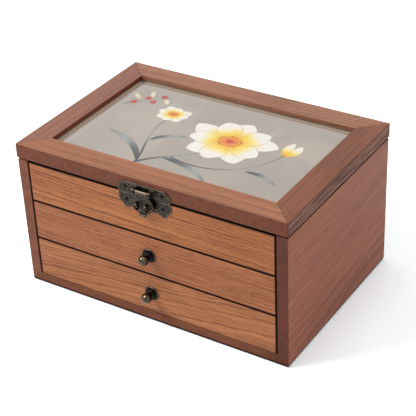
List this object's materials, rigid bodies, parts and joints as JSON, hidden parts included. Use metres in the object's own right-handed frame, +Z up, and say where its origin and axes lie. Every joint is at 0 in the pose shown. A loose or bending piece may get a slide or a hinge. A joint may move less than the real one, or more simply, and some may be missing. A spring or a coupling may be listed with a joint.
{
  "type": "keepsake box",
  "caption": "Wooden keepsake box with a hinged glazed lid over a lined tray, a front hasp, and sliding drawers with turned knobs.",
  "frame": {"origin": "middle of the case's underside, where it rests", "axes": "+X to the right along the front, +Y to the back, +Z up; the front faces -Y"},
  "size_m": [0.2612, 0.1953, 0.1383],
  "materials": {
    "walnut": "walnut stain, satin",
    "ash_front": "open-grained ash, stained, satin",
    "inner_wood": "plain, sanded",
    "antique_bronze": "antique bronze, worn edges",
    "steel": "plain steel",
    "glass": "clear",
    "silk": "sheer taupe silk, embroidered",
    "velvet": "beige velvet",
    "felt": "dark felt"
  },
  "bodies": {
    "case": {"left_side": "walnut", "right_side": "walnut", "bottom_panel": "walnut", "back_panel": "walnut", "top_front_panel": "ash_front", "tray_floor": "inner_wood", "drawer_shelf": "inner_wood", "base_felt": "felt", "tray_liner_left": "velvet", "tray_liner_right": "velvet", "tray_liner_front": "velvet", "tray_liner_back": "velvet", "tray_floor_pad": "velvet", "tray_row_divider": "velvet", "tray_column_divider_left": "velvet", "tray_column_divider_right": "velvet", "ring_pad_left": "velvet", "ring_pad_right": "velvet", "hasp_lower_plate": "antique_bronze", "hasp_lower_tacks": "antique_bronze", "hinge_left_case_leaf": "antique_bronze", "hinge_right_case_leaf": "antique_bronze", "hinge_left_pin": "antique_bronze", "hinge_right_pin": "antique_bronze", "hinge_case_screws": "antique_bronze"},
    "lid": {"lid_front_rail": "walnut", "lid_back_rail": "walnut", "lid_left_rail": "walnut", "lid_right_rail": "walnut", "lid_glass": "glass", "silk_panel": "silk", "lid_front_bead": "walnut", "lid_back_bead": "walnut", "lid_left_bead": "walnut", "lid_right_bead": "walnut", "bead_brads": "steel", "hinge_left_lid_leaf": "antique_bronze", "hinge_right_lid_leaf": "antique_bronze", "hinge_lid_screws": "antique_bronze", "hasp_upper_plate": "antique_bronze", "hasp_upper_tacks": "antique_bronze", "hasp_pin": "antique_bronze"},
    "hasp": {"hasp_tongue": "antique_bronze"},
    "upper_drawer": {"upper_drawer_front": "ash_front", "upper_drawer_left_side": "inner_wood", "upper_drawer_right_side": "inner_wood", "upper_drawer_back": "inner_wood", "upper_drawer_bottom": "inner_wood", "upper_drawer_lining": "velvet", "upper_drawer_knob": "antique_bronze", "upper_drawer_knob_screw": "steel"},
    "lower_drawer": {"lower_drawer_front": "ash_front", "lower_drawer_left_side": "inner_wood", "lower_drawer_right_side": "inner_wood", "lower_drawer_back": "inner_wood", "lower_drawer_bottom": "inner_wood", "lower_drawer_lining": "velvet", "lower_drawer_knob": "antique_bronze", "lower_drawer_knob_screw": "steel"}
  },
  "joints": [
    {"name": "lid_hinge", "type": "hinge", "parent": "case", "child": "lid", "pos_m": [0, 0.0913, 0.124], "axis": [-1, 0, 0], "range_deg": [0, 95]},
    {"name": "hasp_swing", "type": "hinge", "parent": "lid", "child": "hasp", "pos_m": [0, -0.0926, 0.129], "axis": [-1, 0, 0], "range_deg": [0, 160]},
    {"name": "upper_drawer_slide", "type": "slide", "parent": "case", "child": "upper_drawer", "axis": [0, -1, 0], "range_m": [0, 0.12]},
    {"name": "lower_drawer_slide", "type": "slide", "parent": "case", "child": "lower_drawer", "axis": [0, -1, 0], "range_m": [0, 0.12]}
  ]
}
